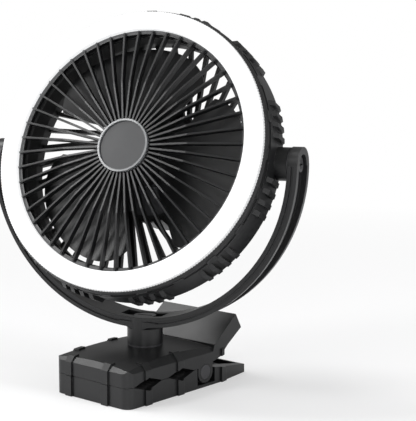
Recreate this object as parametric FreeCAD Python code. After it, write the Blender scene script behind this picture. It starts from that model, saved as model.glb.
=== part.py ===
import FreeCAD, Part
import os
from math import cos, sin, radians, degrees, pi, sqrt
from FreeCAD import Vector, Placement, Rotation

# Portable camping fan on a spring clamp, in millimetres, +Z up.
# The origin is where the swivel axis meets the flat bottom of the clamp. The fan faces -Y
# at zero swivel, and the clamp's mouth is at -Y. The pose is the one it is used in: the
# head is swivelled a little towards +X and tilted up.

# Pose and main stations
swivel_angle = 16.9
tilt_angle = 20.4
joint_gap = 0.3
running_gap = 0.05
seat_gap = 0.02
through = 400.0

# Head: radii are from the fan's axis, stations are along it, forward of the pivot
ring_radius = 105.0
ring_width = 13.6
ring_station = 29.9
ring_thickness = 3.4
ring_crown = 2.6
ring_inner_rise = 1.0
ring_facet = 0.55
diffuser_wall = 2.0
led_board_gap = 0.4
led_room = 0.6
bezel_lip = 1.4
bezel_depth = 5.4
bezel_shelf_width = 4.0
bezel_shelf_drop = 3.0
bezel_flare = 0.8
bezel_lip_height = 1.6
bezel_key_count = 24
bezel_key_width = 8.0
bezel_key_proud = 1.5
drum_step = 3.0
drum_wall = 2.6
drum_rear_station = -8.0
drum_rear_round = 4.0
drum_corner = 1.6
drum_land_width = 3.0
drum_land_height = 2.4
rear_dish = 12.0
duct_wall = 2.2
duct_depth = 20.0
tread_height = 3.0
tread_width = 3.6
tread_pitch = 4.3
tread_count = 4
tread_groups = 12
tread_rear_margin = 5.0
tread_front_margin = 0.6
tread_rear_slope = 4.0
tread_front_slope = 7.0
tread_root = 1.2
boss_post_wall = 3.0
boss_post_depth = 5.5

# Front grille
rib_count = 48
rib_width = 1.4
rib_depth = 4.6
grille_flat_radius = 50.0
cap_radius = 19.9
cap_rim_width = 1.5
cap_recess = 2.0
cap_rise = 6.8
cap_depth = 7.0
cap_skirt = 2.4
cap_disc_thickness = 0.7
grille_rim_width = 3.0
grille_rim_height = 3.4
grille_hub_wall = 3.2
grille_floor = 1.6
rib_root = 0.6
rib_inner_root = 2.0
rib_lift = 0.4

# Rear grille and hub housing
rear_rib_count = 40
rear_rib_width = 3.0
rear_rib_depth = 4.0
rear_rib_slant = 38.0
rear_collar_wall = 2.4
hub_radius = 42.0
hub_wall = 2.4
hub_depth = 39.0
hub_edge_round = 5.0
hub_face_extra = 2.0
hub_ledge_width = 3.0
hub_ledge_height = 2.2
mount_plate = 2.0
mount_collar_wall = 2.4
mount_collar_length = 8.0
mount_hole_radius = 1.6
mount_hole_inset = 7.5
mount_hole_count = 4

# Rotor and motor
rotor_gap = 6.5
blade_count = 3
blade_span = 98.0
blade_root_span = 62.0
blade_thickness = 1.8
blade_rise = 20.0
blade_root_rise = 15.0
blade_first_angle = 105.0
blade_corner = 13.0
blade_root_lead = -8.0
blade_tip_lead = 2.0
rotor_post_wall = 2.6
blade_cup = 1.6
rotor_station = 6.0
rotor_hub_radius = 20.0
rotor_hub_length = 20.0
rotor_hub_wall = 2.2
shaft_radius = 2.0
motor_radius = 17.0
motor_length = 21.0
motor_gap = 1.5
motor_edge = 1.5
motor_collar_radius = 5.0
motor_collar_length = 1.0
nut_radius = 5.5
nut_length = 5.0
nut_taper = 1.5
nut_cap = 1.5

# Battery, board and controls
cell_radius = 9.2
cell_length = 55.0
cell_gap = 0.8
board_standoff = 3.0
board_edge_gap = 2.0
hub_screw_inset = 8.5
hub_screw_radius = 1.5
hub_screw_head_radius = 2.8
hub_screw_head_length = 0.9
hub_screw_length = 9.4
hub_post_radius = 2.6
board_thickness = 1.6
led_board_thickness = 1.2
button_radius = 6.0
button_spacing = 19.0
button_flange = 1.0
button_flange_thickness = 0.9
button_dish_rim = 1.4
button_dish_depth = 0.6
button_proud = 1.6
button_row_height = 12.0
lens_width = 14.0
lens_height = 2.6
lens_proud = 0.3
port_width = 9.2
port_height = 3.4
port_depth = 5.2
port_wall = 0.6
port_back = 1.4
port_room = 1.0
tongue_inset = 1.6
tongue_half_height = 0.35
flap_width = 15.0
flap_height = 8.0
flap_thickness = 1.6
knuckle_radius = 0.9
knuckle_room = 1.5
flap_bridge = 0.8
pull_width = 6.0
pull_height = 1.2
pull_proud = 0.8
port_row_height = -19.0

# Yoke and tilt pivots
yoke_room = 7.0
yoke_web = 3.2
yoke_flange_height = 7.5
yoke_flange_width = 4.0
yoke_half_width = 13.0
yoke_groove_width = 1.8
yoke_groove_depth = 1.2
arm_end_radius = 12.6
boss_radius = 12.0
boss_room = 0.8
pivot_screw_radius = 3.0
pivot_head_radius = 5.4
pivot_head_length = 2.4
pivot_thread_length = 12.0
pivot_well_room = 2.0
washer_inset = 0.5
washer_bore_room = 0.4
cross_reach = 3.2
cross_half_width = 0.7
cross_depth = 1.2
washer_thickness = 0.8
neck_radius = 13.5
neck_length = 21.5
neck_flare_drop = 1.5
seam_rise = 1.1
neck_flare = 7.0
neck_flare_height = 6.0
swivel_bolt_radius = 4.0
swivel_head_radius = 8.5
swivel_head_length = 3.0
swivel_nut_radius = 8.0
swivel_nut_length = 4.0
swivel_head_seat = 3.6
swivel_window_room = 1.2
swivel_nut_room = 1.55
bolt_end = 0.4
bolt_slot_length = 12.0
bolt_slot_width = 1.6
bolt_slot_depth = 1.2
neck_window_length = 34.0
neck_window_width = 13.0
neck_window_depth = 2.0

# Clamp
clamp_half_width = 38.2
clamp_front = -57.3
clamp_corner = 7.0
split_height = 15.3
split_gap = 0.3
jaw_opening = 24.0
jaw_side_height = 25.5
jaw_top_height = 32.2
jaw_chamfer = 6.6
crown_radius = 400.0
crown_centre = -6.0
notch_centres = (-36.5, -1.1)
notch_half_length = 14.2
notch_depth = 4.6
pad_thickness = 1.6
pad_side_margin = 4.0
pad_tooth = 0.5
pad_tooth_pitch = 3.4
pad_end = 1.0
pad_bolt_room = 1.0
band_width = 6.6
band_proud = 1.5
band_wrap = 8.0
front_band_places = (-22.5, 15.5)
side_band_places = (-37.0, -2.6, 47.5)
hinge_y = 26.1
hinge_z = 11.5
pin_radius = 2.5
pin_head_radius = 5.6
pin_head_length = 1.6
ear_thickness = 5.0
ear_radius = 8.2
ear_height = 6.0
ear_room = 1.0
taper_start = 8.0
ear_heel_room = 2.6
lug_thickness = 5.0
lug_radius = 6.2
jaw_wall = 3.0
tail_end = 79.0
tail_end_half_width = 33.0
tail_end_height = 6.5
tail_start_height = 13.0
tail_start = 38.0
tail_rib_count = 3
tail_rib_start = 8.0
tail_rib_width = 1.8
tail_rib_height = 2.4
fold_y = 37.0
fold_drop = 1.6
lever_plate = 4.6
lever_top = (62.0, 50.5)
lever_end = (68.5, 39.0)
lever_under = (52.7, 28.3)
lever_heel = (46.0, 22.4)
lever_root = (33.0, 19.85)
roof_end = 10.0
roof_thickness = 5.6
neck_seat_flare = 5.0
neck_seat_height = 4.0
neck_seat_drop = 4.6
scallop_count = 5
scallop_depth = 2.0
scallop_margin = 6.0
scallop_radius = 9.0
scallop_lift = 2.0
scallop_reach = 8.0
jaw_cavity_half_width = 24.0
jaw_cavity_half_length = 10.0
spring_wire = 1.8
spring_radius = 5.6
spring_turns = 4
spring_leg = 17.0
spring_room = 1.5

# Folding hook under the clamp
hook_wire = 5.0
hook_pivot_y = -5.5
hook_leg_spread = 22.0
hook_length = 45.0
hook_bend_radius = 9.0
hook_pin_radius = 1.5
hook_clearance = 0.6
hook_waist_share = 0.42
hook_tip_length = 7.0
hook_eye = 0.4
hook_pin_end = 7.0
hook_bay_side = 2.0
hook_bay_end = 4.2
hook_bay_height = 6.4
hook_throat_side = 4.0
hook_throat_end = 3.6

os.makedirs("parts", exist_ok=True)

X_AXIS = Vector(1, 0, 0)
Y_AXIS = Vector(0, 1, 0)
Z_AXIS = Vector(0, 0, 1)

# Stations and radii worked out from the driving sizes
ring_inner_radius = ring_radius - ring_width
bezel_station = ring_station - ring_thickness
drum_front_station = bezel_station - bezel_depth
drum_radius = ring_radius + drum_step
drum_inner_radius = drum_radius - drum_wall
duct_radius = ring_inner_radius
duct_rear_station = drum_front_station - duct_depth
shoulder_station = drum_rear_station - rear_dish
cap_station = ring_station + cap_rise
rotor_radius = duct_radius - rotor_gap
hub_rear_station = shoulder_station - hub_depth
motor_front_station = rotor_station - rotor_hub_length / 2 - motor_gap
motor_rear_station = motor_front_station - motor_length
yoke_inner_radius = drum_radius + tread_height + yoke_room
yoke_outer_radius = yoke_inner_radius + yoke_flange_height
arm_web_radius = yoke_inner_radius + yoke_web
boss_end = yoke_inner_radius - joint_gap - washer_thickness
ear_inner = clamp_half_width - ear_thickness
lug_outer = ear_inner - joint_gap
lug_inner = lug_outer - lug_thickness
lower_top = split_height - split_gap / 2
upper_bottom = split_height + split_gap / 2
seam_height = jaw_top_height + seam_rise
boss_top = seam_height - joint_gap - washer_thickness
pivot_height = seam_height + neck_length + yoke_inner_radius
pivot = Vector(0, 0, pivot_height)
nut_floor = upper_bottom + notch_depth + pad_thickness + swivel_nut_room
nut_ceiling = nut_floor + swivel_nut_length
fold_height = jaw_top_height - fold_drop
pad_half_width = clamp_half_width - pad_side_margin
hook_recess_height = hook_wire / 2 + hook_clearance
board_station = hub_rear_station + hub_wall + hub_face_extra + board_standoff

head_frame = Placement(pivot, Rotation(Z_AXIS, swivel_angle) * Rotation(X_AXIS, 90 - tilt_angle))
yoke_frame = Placement(Vector(0, 0, 0), Rotation(Z_AXIS, swivel_angle))


def save(name, shape, frame=None):
    """Write one node, moved from its own frame to the part's frame."""
    if frame is not None:
        shape = shape.copy()
        shape.transformShape(frame.toMatrix())
    if not shape.isValid():
        print("not valid:", name)
    print(name, "solids", len(shape.Solids), "volume", round(shape.Volume, 1))
    shape.exportStep("parts/" + name + ".step")


def tidy(shape):
    """Merge faces that lie on one surface and return the bare solid."""
    shape = shape.removeSplitter()
    return shape.Solids[0] if len(shape.Solids) == 1 else shape


def polygon(points):
    return Part.makePolygon(points + [points[0]])


def prism(points, direction):
    return Part.Face(polygon(points)).extrude(direction)


def box(x, y, z):
    """Box from three (low, high) pairs."""
    size = (x[1] - x[0], y[1] - y[0], z[1] - z[0])
    return Part.makeBox(*size, Vector(x[0], y[0], z[0]))


def rod(radius, start, end):
    """Cylinder between two points."""
    start = Vector(*start)
    run = Vector(*end) - start
    return Part.makeCylinder(radius, run.Length, start, run)


def tube(outer, inner, low, high):
    """Ring about the local Z axis."""
    bore = rod(inner, (0, 0, low - 1), (0, 0, high + 1))
    return rod(outer, (0, 0, low), (0, 0, high)).cut(bore)


def turned(points):
    """Solid of revolution about local Z from (radius, station) points."""
    face = Part.Face(polygon([Vector(r, 0, z) for r, z in points]))
    return face.revolve(Vector(0, 0, 0), Z_AXIS, 360)


def around(shape, count, first=0.0):
    """Copies of a shape, evenly spaced about local Z."""
    copies = []
    for index in range(count):
        copy = shape.copy()
        copy.rotate(Vector(0, 0, 0), Z_AXIS, first + index * 360.0 / count)
        copies.append(copy)
    return copies


def join(first, others):
    return first.fuse(others) if others else first


def side_prism(points, half_width):
    """Prism across the clamp from (y, z) points."""
    return prism([Vector(-half_width, y, z) for y, z in points], Vector(2 * half_width, 0, 0))


# The clamp

def plan_prism(grow, rear_half_width, rear_y):
    """The clamp's rounded outline seen from above, as a tall prism."""
    half = clamp_half_width + grow
    front = clamp_front - grow
    corner = clamp_corner + grow
    turn = corner * (1 - cos(pi / 4))
    lines = []
    taper_y = hinge_y + ear_radius + taper_start
    left = [Vector(-half, front + corner, -through / 2), Vector(-half + turn, front + turn, -through / 2),
            Vector(-half + corner, front, -through / 2)]
    right = [Vector(half - corner, front, -through / 2), Vector(half - turn, front + turn, -through / 2),
             Vector(half, front + corner, -through / 2)]
    lines.append(Part.Arc(*left).toShape())
    lines.append(Part.makeLine(left[2], right[0]))
    lines.append(Part.Arc(*right).toShape())
    rear = [right[2], Vector(half, taper_y, -through / 2), Vector(rear_half_width, rear_y, -through / 2),
            Vector(-rear_half_width, rear_y, -through / 2), Vector(-half, taper_y, -through / 2), left[0]]
    for start, end in zip(rear, rear[1:]):
        lines.append(Part.makeLine(start, end))
    return Part.Face(Part.Wire(lines)).extrude(Vector(0, 0, through))


def notches(level, sign, grow):
    """Top or bottom edge of a jaw, with its two V-notches, as (y, z) points."""
    points = []
    for centre in notch_centres:
        points.append((centre - notch_half_length, level))
        points.append((centre, level + sign * (notch_depth + grow)))
        points.append((centre + notch_half_length, level))
    return points


def opened(y, z, gap):
    """Where a place on the lower jaw lies beside the upper jaw when the clamp is fully open."""
    turn = radians(jaw_opening)
    back, up = y - hinge_y, z - hinge_z
    return (hinge_y + back * cos(turn) - up * sin(turn),
            hinge_z + back * sin(turn) + up * cos(turn) + gap)


def pin_bore(radius, low, high):
    return rod(radius, (low, hinge_y, hinge_z), (high, hinge_y, hinge_z))


def both_sides(shape):
    return [shape, shape.mirror(Vector(0, 0, 0), X_AXIS)]


def lower_jaw_block(grow):
    """Lower jaw without its hollows; grow makes the raised bands."""
    outline = [(clamp_front - grow, 0.0), (tail_end, 0.0), (tail_end, tail_end_height),
               (tail_start, tail_start_height), (hinge_y - ear_radius, lower_top)]
    outline += notches(lower_top, -1, 0.0)[::-1]
    outline += [(clamp_front - grow, lower_top)]
    body = side_prism(outline, clamp_half_width + grow)
    return body.common(plan_prism(grow, tail_end_half_width + grow, tail_end))


def tail_edge(y):
    """Place on the sloping top edge of the tail."""
    slope = (tail_end_height - tail_start_height) / (tail_end - tail_start)
    return y, tail_start_height + slope * (y - tail_start)


def bands(block, low, high):
    """Slices of a slightly larger block that stand proud as rugged bands."""
    slices = []
    for y in side_band_places:
        across = (y - band_width / 2, y + band_width / 2)
        slices += both_sides(box((clamp_half_width - band_wrap, through), across, (low, high)))
    for x in front_band_places:
        span = (x - band_width / 2, x + band_width / 2)
        slices.append(box(span, (-through, clamp_front + clamp_corner), (low, high)))
    return [block.common(piece) for piece in slices]


def hook_path():
    """Hook outline on its own plane, folded: legs run forward from the pin to the bend."""
    z = hook_recess_height
    half = hook_leg_spread / 2 - hook_wire / 2
    waist_y = hook_pivot_y - hook_length * hook_waist_share
    bend_y = hook_pivot_y - hook_length + hook_bend_radius
    return z, half, waist_y, bend_y


def pad_pocket(level, sign):
    """Shallow pocket that a grip pad is glued into."""
    edge = [(clamp_front + pad_side_margin, level)] + notches(level, sign, 0.0)
    edge.append((notch_centres[1] + notch_half_length + pad_end, level))
    back = [(y, z + sign * pad_thickness) for y, z in edge[::-1]]
    air = level - sign * 2 * pad_thickness
    over = [(edge[0][0], air), (edge[-1][0], air)]
    return side_prism([over[0]] + back[::-1] + [over[1]], pad_half_width)


def hook_shape(grow):
    """The hook's wire as a solid, or its clearance when grow is more than nothing."""
    z, half, waist_y, bend_y = hook_path()
    radius = hook_wire / 2 + grow
    pieces = [rod(radius, (-half, hook_pivot_y, z), (0, waist_y, z)),
              rod(radius, (half, hook_pivot_y, z), (0, waist_y, z)),
              rod(radius, (0, waist_y, z), (0, bend_y, z))]
    centre = Vector(hook_bend_radius, bend_y, z)
    bend = Part.makeTorus(hook_bend_radius, radius, centre, Z_AXIS)
    front = box((-through, through), (-through, bend_y), (-through, through))
    pieces.append(bend.common(front))
    tip = 2 * hook_bend_radius
    pieces.append(rod(radius, (tip, bend_y, z), (tip, bend_y + hook_tip_length, z)))
    pieces.append(Part.makeSphere(radius, Vector(tip, bend_y + hook_tip_length, z)))
    pieces.append(Part.makeSphere(radius, Vector(0, waist_y, z)))
    for x in (-half, half):
        eye = radius + hook_eye
        pieces.append(rod(eye, (x - radius, hook_pivot_y, z), (x + radius, hook_pivot_y, z)))
    return join(pieces[0], pieces[1:])


def lower_jaw():
    block = lower_jaw_block(0.0)
    block = join(block, bands(lower_jaw_block(band_proud), 0.0, split_height))
    inner = lug_inner
    hollow = box((-inner, inner), (hinge_y - ear_radius - spring_room, tail_end - jaw_wall),
                 (jaw_wall, through))
    block = block.cut(hollow)
    ear_span = (hinge_y - ear_radius - ear_room, hinge_y + ear_radius + ear_heel_room)
    ear_floor = hinge_z - ear_radius - ear_room
    block = block.cut(both_sides(box((ear_inner - joint_gap, 60), ear_span, (ear_floor, through))))
    lugs = both_sides(pin_bore(lug_radius, lug_inner, lug_outer))
    lugs += both_sides(box((lug_inner, lug_outer), ear_span, (ear_floor - 1.0, hinge_z)))
    block = join(block, lugs)
    block = block.cut(pin_bore(pin_radius + seat_gap, -through, through))
    step = (tail_end - jaw_wall - fold_y - 2 * jaw_wall) / tail_rib_count
    ribs = []
    for index in range(tail_rib_count):
        y = fold_y + tail_rib_start + index * step
        ribs.append(box((-inner - 1, inner + 1), (y, y + tail_rib_width), (1.0, jaw_wall + tail_rib_height)))
    block = join(block, ribs)
    block = block.cut(pad_pocket(lower_top, -1))
    z, half, waist_y, bend_y = hook_path()
    bay_width = hook_leg_spread / 2 + hook_bay_side
    bay = box((-bay_width, bay_width), (waist_y, hook_pivot_y + hook_bay_end), (-1, hook_bay_height))
    throat = box((-hook_throat_side, 2 * hook_bend_radius + hook_throat_side),
                 (bend_y - hook_bend_radius - hook_throat_end, waist_y + 0.5), (-1, hook_bay_height))
    block = block.cut([bay, throat])
    pin = hook_pin_bore(hook_pin_radius + seat_gap)
    return tidy(block.cut(pin))


def hook_pin_bore(radius):
    half = hook_leg_spread / 2 + hook_pin_end
    z = hook_recess_height
    return rod(radius, (-half, hook_pivot_y, z), (half, hook_pivot_y, z))


def upper_jaw():
    half = clamp_half_width

    def crown(grow):
        top = jaw_top_height + grow
        width = half + grow
        front = clamp_front - grow
        outline = [(front, upper_bottom), (front, jaw_side_height), (front + jaw_chamfer, top),
                   (fold_y + roof_end, top), opened(*tail_edge(fold_y + roof_end + 2.0), split_gap * 2),
                   opened(tail_start, tail_start_height, split_gap * 2),
                   (hinge_y, upper_bottom), (hinge_y - ear_radius, upper_bottom)]
        outline += notches(upper_bottom, 1, 0.0)[::-1]
        body = side_prism(outline, width)
        section = [(-width, 0), (width, 0), (width, jaw_side_height), (width - jaw_chamfer, top),
                   (-width + jaw_chamfer, top), (-width, jaw_side_height)]
        along = prism([Vector(x, -through / 2, z) for x, z in section], Vector(0, through, 0))
        ball = Part.makeSphere(crown_radius, Vector(0, crown_centre, top - crown_radius))
        return body.common(along).common(plan_prism(grow, half + grow, through / 4)).common(ball)

    block = join(crown(0.0), bands(crown(band_proud * 0.8), upper_bottom, through))
    top_y, top_z = lever_top
    end_y, end_z = lever_end
    under_y, under_z = lever_under
    heel_y, heel_z = lever_heel
    lever_line = [(fold_y, fold_height), (top_y, top_z), (end_y, end_z), (under_y, under_z),
                  (heel_y, heel_z), lever_root]
    block = block.fuse(side_prism(lever_line, half))
    room_start = hinge_y - ear_radius - spring_room
    ceiling = jaw_top_height - roof_thickness
    room = [(room_start, 0), (room_start, ceiling), (fold_y, ceiling), (fold_y, lever_soffit(fold_y)),
            (top_y, lever_soffit(top_y)), (end_y - jaw_wall, end_z - 1.0), (end_y - jaw_wall, 0)]
    room_width = half - jaw_wall
    block = block.cut(side_prism(room, room_width))
    pitch = 2 * (half - scallop_margin) / scallop_count
    axis_z = top_z + scallop_radius + scallop_lift - scallop_depth
    scallops = []
    for index in range(scallop_count):
        x = -half + scallop_margin + pitch * (index + 0.5)
        scallops.append(rod(scallop_radius, (x, top_y - scallop_reach, axis_z), (x, through, axis_z)))
    block = block.cut(scallops)
    ear_block = box((ear_inner, half), (hinge_y - ear_radius, hinge_y + ear_radius),
                    (hinge_z, upper_bottom + ear_height))
    ears = both_sides(pin_bore(ear_radius, ear_inner, half)) + both_sides(ear_block)
    block = join(block, ears)
    block = block.cut(pin_bore(pin_radius + running_gap, -through, through))
    seats = both_sides(pin_bore(pin_head_radius + joint_gap, half - pin_head_length, through))
    block = block.cut(seats)
    boss = rod(neck_radius, (0, 0, nut_ceiling - swivel_nut_length / 2), (0, 0, boss_top))
    flare = Part.makeCone(neck_radius + neck_seat_flare, neck_radius, neck_seat_height,
                          Vector(0, 0, boss_top - neck_seat_drop), Z_AXIS)
    block = join(block, [boss, flare])
    cavity = box((-jaw_cavity_half_width, jaw_cavity_half_width),
                 (-jaw_cavity_half_length, jaw_cavity_half_length), (upper_bottom - 1, nut_ceiling))
    block = block.cut(cavity)
    block = block.cut(rod(swivel_bolt_radius + seat_gap, (0, 0, 0), pivot))
    return tidy(block.cut(pad_pocket(upper_bottom, 1)))


def grip_pad(level, sign):
    """Ribbed rubber pad that lines one jaw and its two notches."""
    edge = [(clamp_front + pad_side_margin + seat_gap, level)] + notches(level, sign, 0.0)
    edge.append((notch_centres[1] + notch_half_length + pad_end - seat_gap, level))
    face = []
    for (y0, z0), (y1, z1) in zip(edge, edge[1:]):
        teeth = max(1, int((y1 - y0) / pad_tooth_pitch))
        for index in range(teeth):
            start = index / teeth
            middle = (index + 0.5) / teeth
            face.append((y0 + (y1 - y0) * start, z0 + (z1 - z0) * start))
            crest = z0 + (z1 - z0) * middle + sign * pad_tooth
            face.append((y0 + (y1 - y0) * middle, crest))
    face.append(edge[-1])
    back = [(y, z + sign * (pad_thickness - seat_gap)) for y, z in edge[::-1]]
    pad = side_prism(face + back, pad_half_width - seat_gap)
    if sign > 0:
        pad = pad.cut(rod(swivel_bolt_radius + pad_bolt_room, (0, 0, 0), pivot))
    return tidy(pad)


def clamp_pin():
    half = clamp_half_width
    head = pin_head_length - 0.1
    shank = pin_bore(pin_radius, -half + 0.1, half - 0.1)
    discs = both_sides(pin_bore(pin_head_radius, half - head, half))
    return tidy(join(shank, discs))


def clamp_spring():
    """Torsion spring on the pin: close turns, a leg on the tail and a leg under the lever."""
    pitch = spring_wire
    wire = spring_wire / 2
    first = -(spring_turns - 1) * pitch / 2
    turns = []
    for index in range(spring_turns):
        centre = Vector(first + index * pitch, hinge_y, hinge_z)
        turns.append(spring_ring(centre))
    tail_z = jaw_wall + wire + seat_gap
    low_leg = rod(wire, (first, hinge_y, hinge_z - spring_radius),
                  (first, hinge_y + spring_leg, tail_z))
    lever_z = lever_soffit(hinge_y + spring_leg) - wire * 2.3
    high_leg = rod(wire, (-first, hinge_y, hinge_z + spring_radius),
                   (-first, hinge_y + spring_leg, lever_z))
    return tidy(join(turns[0], turns[1:] + [low_leg, high_leg]))


def spring_ring(centre):
    """One turn of the spring, as a ring of eight-sided section about the pin."""
    section = []
    for index in range(8):
        angle = radians(45 * index + 22.5)
        section.append(centre + Vector(spring_wire * 0.56 * cos(angle), 0,
                                       spring_radius + spring_wire * 0.56 * sin(angle)))
    return Part.Face(polygon(section)).revolve(centre, X_AXIS, 360)


def lever_soffit(y):
    """Height of the lever plate's underside at a place behind the fold."""
    top_y, top_z = lever_top
    rise = (top_z - fold_height) / (top_y - fold_y)
    return fold_height + rise * (y - fold_y) - lever_plate


def hook():
    shape = hook_shape(0.0)
    return tidy(shape.cut(hook_pin_bore(hook_pin_radius + running_gap)))


# The yoke

def yoke():
    inner = yoke_inner_radius
    outer = yoke_outer_radius
    half = yoke_half_width
    lip = half - yoke_flange_width
    groove = (inner + outer) / 2 - yoke_groove_width / 2
    bank = groove + yoke_groove_width
    deep = half - yoke_groove_depth
    rear_half = [(inner, -half), (groove, -half), (groove, -deep), (bank, -deep), (bank, -half),
                 (outer, -half), (outer, -lip), (arm_web_radius, -lip)]
    profile = rear_half + [(r, -y) for r, y in rear_half[::-1]]
    face = Part.Face(polygon([Vector(r, y, pivot_height) for r, y in profile]))
    band = face.revolve(pivot, Y_AXIS, 180)
    below = box((-through, through), (-through, through), (0, pivot_height - 1.0))
    tabs = [across_axis(arm_end_radius, side * inner, side * outer).cut(below) for side in (-1, 1)]
    body = join(band, tabs)
    for side in (-1, 1):
        well = across_axis(pivot_head_radius + pivot_well_room, side * arm_web_radius, side * through)
        seat = across_axis(boss_radius + boss_room, side * drum_radius, side * inner)
        body = body.cut([well, seat])
    body = body.fuse(neck())
    low = pivot_height - inner
    window = rod(swivel_head_radius + swivel_window_room, (0, 0, low - swivel_head_seat), pivot)
    slot = box((-neck_window_length / 2, neck_window_length / 2),
               (-neck_window_width / 2, neck_window_width / 2), (low - neck_window_depth, pivot_height))
    bore = rod(swivel_bolt_radius + running_gap, (0, 0, 0), pivot)
    pivot_holes = across_axis(pivot_screw_radius + running_gap, -through, through)
    return tidy(body.cut([window, slot, bore, pivot_holes]))


def across_axis(radius, start, end):
    """Cylinder on the tilt axis, in the yoke's frame."""
    return rod(radius, (start, 0, pivot_height), (end, 0, pivot_height))


def neck():
    """Round foot of the yoke, flared where it meets the band."""
    low = pivot_height - yoke_inner_radius
    half = yoke_half_width
    post = rod(neck_radius, (0, 0, seam_height), (0, 0, low))
    flare_start = Vector(0, 0, low - yoke_flange_height - neck_flare_drop)
    flare = Part.makeCone(neck_radius, neck_radius + neck_flare, neck_flare_height, flare_start, Z_AXIS)
    wide = box((-through, through), (-half, half), (0, pivot_height))
    room = rod(yoke_inner_radius, (0, -through, pivot_height), (0, through, pivot_height))
    return post.fuse(flare).common(wide.fuse(post)).cut(room)


def swivel_bolt():
    low = pivot_height - yoke_inner_radius - swivel_head_seat + joint_gap
    high = low + swivel_head_length
    head = rod(swivel_head_radius, (0, 0, low), (0, 0, high))
    shank = rod(swivel_bolt_radius, (0, 0, nut_floor - bolt_end), (0, 0, low))
    slot = box((-bolt_slot_length / 2, bolt_slot_length / 2), (-bolt_slot_width / 2, bolt_slot_width / 2),
               (high - bolt_slot_depth, pivot_height))
    return tidy(head.fuse(shank).cut(slot))


def swivel_nut():
    corners = []
    for index in range(6):
        angle = radians(60 * index)
        corners.append(Vector(swivel_nut_radius * cos(angle), swivel_nut_radius * sin(angle), nut_floor))
    nut = prism(corners, Vector(0, 0, swivel_nut_length))
    return tidy(nut.cut(rod(swivel_bolt_radius + seat_gap, (0, 0, 0), pivot)))


def swivel_washer():
    outer = neck_radius - washer_inset
    return tube(outer, swivel_bolt_radius + washer_bore_room, boss_top, boss_top + washer_thickness)


def pivot_screws():
    """The two screws on the tilt axis, in the yoke's frame."""
    screws = []
    for side in (-1, 1):
        seat = arm_web_radius + joint_gap / 2
        top = seat + pivot_head_length
        tip = seat - yoke_web - pivot_thread_length
        head = across_axis(pivot_head_radius, side * seat, side * top)
        shank = across_axis(pivot_screw_radius, side * seat, side * tip)
        floor, air = side * (top - cross_depth), side * through
        cross = []
        for y, z in ((cross_reach, cross_half_width), (cross_half_width, cross_reach)):
            cross.append(box(sorted((floor, air)), (-y, y), (pivot_height - z, pivot_height + z)))
        screws.append(tidy(head.fuse(shank).cut(cross)))
    return Part.makeCompound(screws)


# The head, built with its axis along local Z and the tilt axis along local X

def pivot_washers():
    washers = []
    for side in (-1, 1):
        start = (side * boss_end, 0, 0)
        end = (side * (boss_end + washer_thickness), 0, 0)
        bore = rod(pivot_screw_radius + joint_gap, start, end)
        washers.append(rod(boss_radius - washer_inset, start, end).cut(bore))
    return Part.makeCompound(washers)


def led_diffuser():
    """Milky ring, crowned across its width, with a channel for the light board behind."""
    low = bezel_station
    half = ring_width / 2
    middle = ring_radius - half
    profile = [(ring_radius, low), (ring_radius, ring_station)]
    for place in (ring_facet, 0.0, -ring_facet):
        height = ring_crown * (1 - place ** 2) + (1 - place) * ring_inner_rise / 2
        profile.append((middle + place * half, ring_station + height))
    profile += [(ring_inner_radius, ring_station + ring_inner_rise), (ring_inner_radius, low)]
    channel = tube(ring_radius - diffuser_wall, ring_inner_radius + diffuser_wall, low - 1,
                   low + led_board_thickness + led_room)
    return tidy(turned(profile).cut(channel))


def led_board():
    inset = diffuser_wall + led_board_gap
    high = bezel_station + led_board_thickness
    return tube(ring_radius - inset, ring_inner_radius + inset, bezel_station, high)


def front_bezel():
    """Ring behind the diffuser, with castellations that key into the drum."""
    high = bezel_station
    low = high - bezel_depth
    shelf = high - bezel_shelf_drop
    shelf_edge = ring_inner_radius - bezel_shelf_width
    outer = ring_radius + bezel_lip
    flare = outer + bezel_flare
    ring = turned([(shelf_edge, shelf), (ring_inner_radius, shelf), (ring_inner_radius, high),
                   (outer, high), (flare, high - bezel_lip_height), (flare, low), (shelf_edge, low)])
    key = box((outer - bezel_key_proud, outer + bezel_key_proud),
              (-bezel_key_width / 2, bezel_key_width / 2), (low, high - bezel_lip_height - 0.2))
    return tidy(join(ring, around(key, bezel_key_count)))


def drum_shell():
    """Outer wall with its treads, rear face and the two tilt bosses."""
    front = drum_front_station
    rear = drum_rear_station
    inner = drum_inner_radius
    turn = drum_rear_round
    bevel = turn * (1 - cos(pi / 4))
    seat = duct_radius + duct_wall + seat_gap
    floor = rear + drum_wall
    shell = turned([(inner, front), (drum_radius, front), (drum_radius, rear + turn),
                    (drum_radius - bevel, rear + bevel), (drum_radius - turn, rear), (seat, rear),
                    (seat, floor), (inner - drum_corner, floor), (inner, rear + turn)])
    land = tube(inner + drum_wall / 2, inner - drum_land_width, front - drum_land_height, front)
    bosses = []
    for side in (-1, 1):
        end = (side * boss_end, 0, 0)
        bosses.append(rod(boss_radius, (side * (inner + drum_wall / 4), 0, 0), end))
        bosses.append(rod(pivot_screw_radius + boss_post_wall, (side * (inner - boss_post_depth), 0, 0), end))
    shell = join(shell, [land] + treads() + bosses)
    return tidy(shell.cut(rod(pivot_screw_radius + seat_gap, (-boss_end - 1, 0, 0), (boss_end + 1, 0, 0))))


def treads():
    """Groups of raised ribs round the drum, with sloping ends."""
    low = drum_rear_station + tread_rear_margin
    high = drum_front_station - tread_front_margin
    root = drum_radius - tread_root
    crest = drum_radius + tread_height
    outline = [Vector(root, 0, low), Vector(crest, 0, low + tread_rear_slope),
               Vector(crest, 0, high - tread_front_slope), Vector(root, 0, high)]
    rib = prism(outline, Vector(0, tread_width, 0))
    rib.translate(Vector(0, -tread_width / 2, 0))
    copies = []
    for index in range(tread_count):
        shift = 180.0 / tread_groups + (index - (tread_count - 1) / 2) * tread_pitch
        copies += around(rib, tread_groups, shift)
    return copies


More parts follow.
